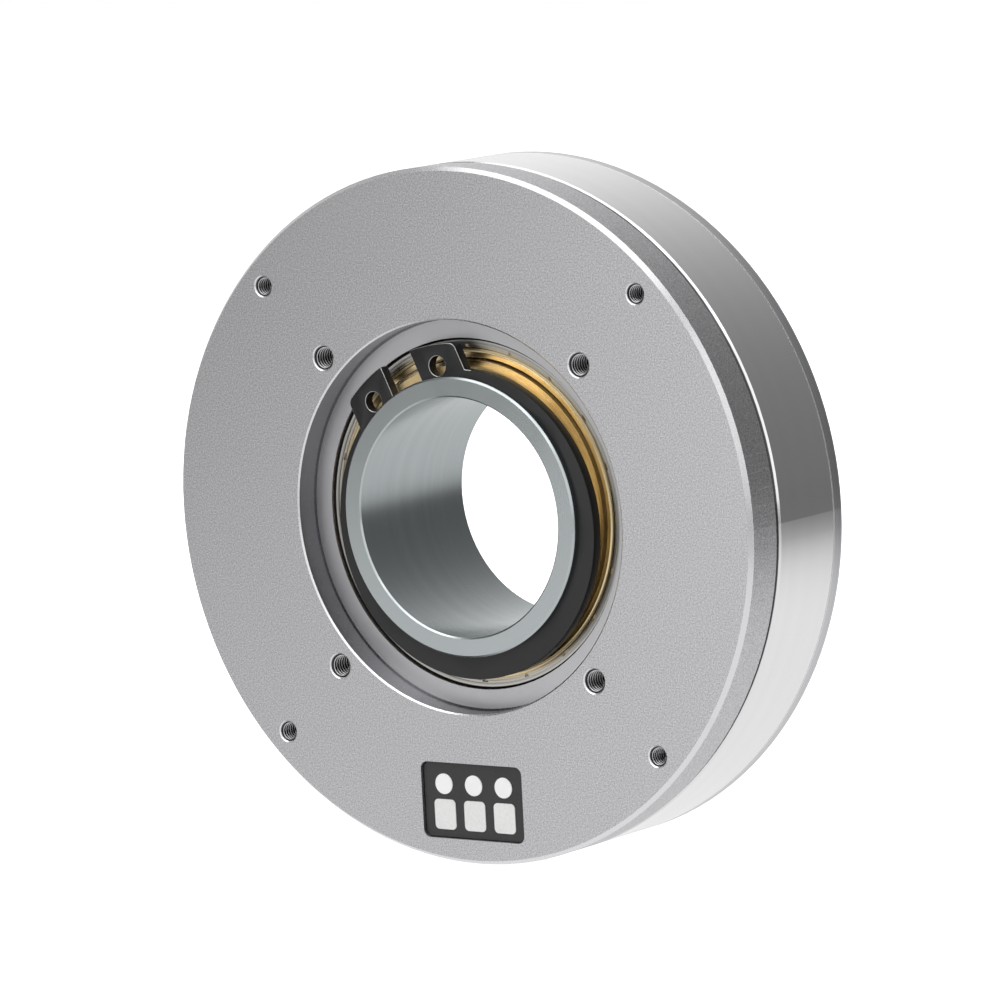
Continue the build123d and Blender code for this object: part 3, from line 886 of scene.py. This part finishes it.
# %% The camera, where the picture was taken from
camera_place = Vector((488.05, -661.75, 110.15))
camera_turn = [math.radians(angle) for angle in (82.494, 2.967, 35.643)]
camera_data = bpy.data.cameras.new("portrait camera")
camera_data.sensor_width = 36.0
camera_data.lens = 242.04
camera_data.clip_start = 0.01
camera_data.clip_end = 20.0
camera = bpy.data.objects.new("portrait camera", camera_data)
camera.location = camera_place * MM
camera.rotation_euler = Euler(camera_turn, "XYZ")
bpy.context.scene.collection.objects.link(camera)
bpy.context.scene.camera = camera
print(f"camera at {camera_place.length:.0f} mm")

# %% [markdown]
# ## The lamps and the room
#
# Metal has little colour of its own and shows what stands around it, so each lamp is a large soft surface,
# and its mirror image is an even bright area. The key lamp and the high left lamp light the disc's face,
# the right lamp its chamfer, and the other two light the motor from above. The room is grey for all rays
# but the camera's, and brighter towards the rear left, which gives the bands between the lamps their tone.


# %% The lamps
def soft_lamp(name, place, size, brightness):
    """A soft lamp that points at the motor. Its brightness is what a mirror would show."""
    data = bpy.data.lights.new(name, "AREA")
    data.shape = "RECTANGLE"
    data.size = size[0] * MM
    data.size_y = size[1] * MM
    data.energy = brightness * math.pi * data.size * data.size_y
    lamp = bpy.data.objects.new(name, data)
    lamp.location = Vector(place) * MM
    lamp.rotation_euler = (-Vector(place)).to_track_quat("-Z", "Y").to_euler()
    lamp.visible_camera = False
    bpy.context.scene.collection.objects.link(lamp)
    print(f"{name}: {data.energy:.2f} W")


soft_lamp("overhead lamp", place=(-100, 0, 900), size=(1000, 900), brightness=1.3)
soft_lamp("high front lamp", place=(300, -450, 700), size=(450, 450), brightness=1.5)
soft_lamp("right lamp", place=(520, -400, 170), size=(460, 760), brightness=1.1)
soft_lamp("key lamp", place=(-80, -320, 40), size=(160, 260), brightness=1.65)
soft_lamp("high left lamp", place=(-270, -540, 680), size=(600, 600), brightness=2.2)


# %% The white background and the room that the metal mirrors
def make_room():
    """White for the camera. For all other rays, a grey room that grows brighter towards the rear left."""
    room = bpy.data.worlds.new("room")
    bpy.context.scene.world = room
    room.use_nodes = True
    tree = room.node_tree
    tree.nodes.clear()
    seen = tree.nodes.new("ShaderNodeBackground")
    seen.inputs["Color"].default_value = (1, 1, 1, 1)

    direction = tree.nodes.new("ShaderNodeTexCoord").outputs["Generated"]
    facing = tree.nodes.new("ShaderNodeVectorMath")
    facing.operation = "DOT_PRODUCT"
    tree.links.new(direction, facing.inputs[0])
    rear_left = Vector((-0.61, 0.77, 0.2))
    facing.inputs[1].default_value = rear_left.normalized()
    toward = maths(tree, "MAXIMUM", facing.outputs["Value"], 0.0)
    softness, slope, grey = 3.0, 0.06, 0.16
    window = maths(tree, "POWER", toward, softness)
    walls = maths(tree, "MULTIPLY_ADD", split(tree, direction)["Y"], slope, grey)
    around = tree.nodes.new("ShaderNodeBackground")
    tree.links.new(maths(tree, "ADD", window, walls), around.inputs["Strength"])

    choice = tree.nodes.new("ShaderNodeMixShader")
    output = tree.nodes.new("ShaderNodeOutputWorld")
    tree.links.new(tree.nodes.new("ShaderNodeLightPath").outputs["Is Camera Ray"], choice.inputs[0])
    tree.links.new(around.outputs[0], choice.inputs[1])
    tree.links.new(seen.outputs[0], choice.inputs[2])
    tree.links.new(choice.outputs[0], output.inputs["Surface"])


make_room()
bpy.context.scene.view_settings.view_transform = "Standard"
print("room ready")
